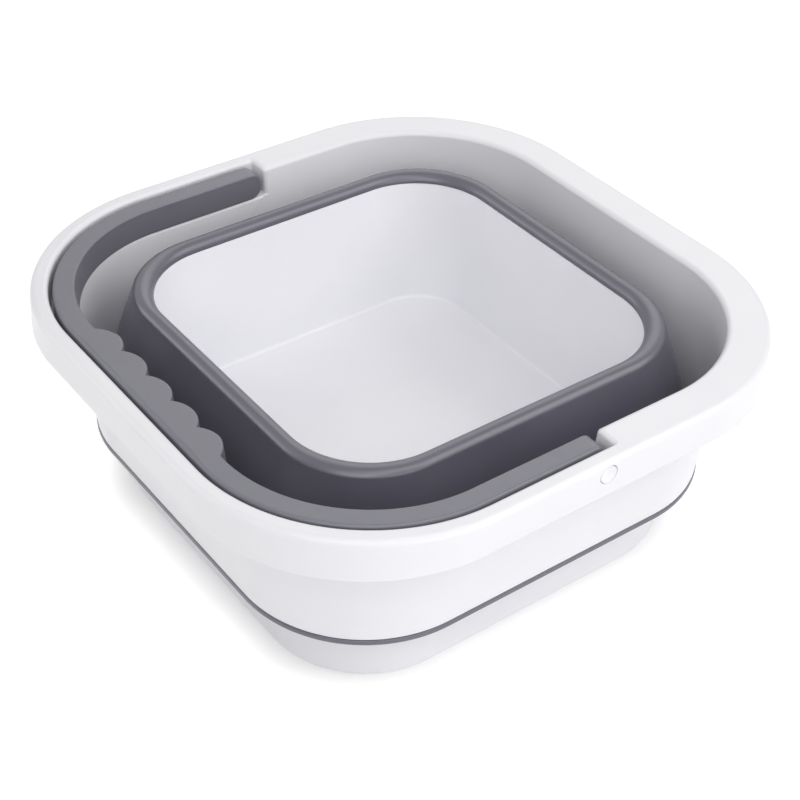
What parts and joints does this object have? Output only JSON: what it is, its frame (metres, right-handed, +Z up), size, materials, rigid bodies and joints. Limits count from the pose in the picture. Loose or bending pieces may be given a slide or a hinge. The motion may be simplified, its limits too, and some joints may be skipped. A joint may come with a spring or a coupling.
{
  "type": "collapsible bucket",
  "caption": "Square bucket with round corners that folds flat: a rim frame on a soft folding sleeve over a tub, with a bail handle that lies in a recess of the rim.",
  "frame": {"origin": "on the ground, under the middle of the bucket", "axes": "+Z up; +Y from the front pin to the back pin, along the handle's axis; the folded handle lies in the -X half of the rim"},
  "size_m": [0.31, 0.31, 0.121],
  "materials": {
    "white_plastic": "satin white moulded plastic",
    "grey_soft_plastic": "satin grey soft elastomer",
    "grey_handle_plastic": "fine-grained grey moulded plastic"
  },
  "bodies": {
    "base": {"base_tub": "white_plastic", "fold_sleeve": "grey_soft_plastic"},
    "rim": {"rim_frame": "white_plastic", "pivot_pin_front": "white_plastic", "pivot_pin_back": "white_plastic"},
    "handle": {"carry_handle": "grey_handle_plastic"}
  },
  "joints": [
    {"name": "rim_lift", "type": "slide", "parent": "base", "child": "rim", "axis": [0, 0, 1], "range_m": [0, 0.146], "deforming": ["fold_sleeve"]},
    {"name": "handle_swing", "type": "hinge", "parent": "rim", "child": "handle", "pos_m": [0, 0, 0.1128], "axis": [0, 1, 0], "range_deg": [0, 100]}
  ]
}
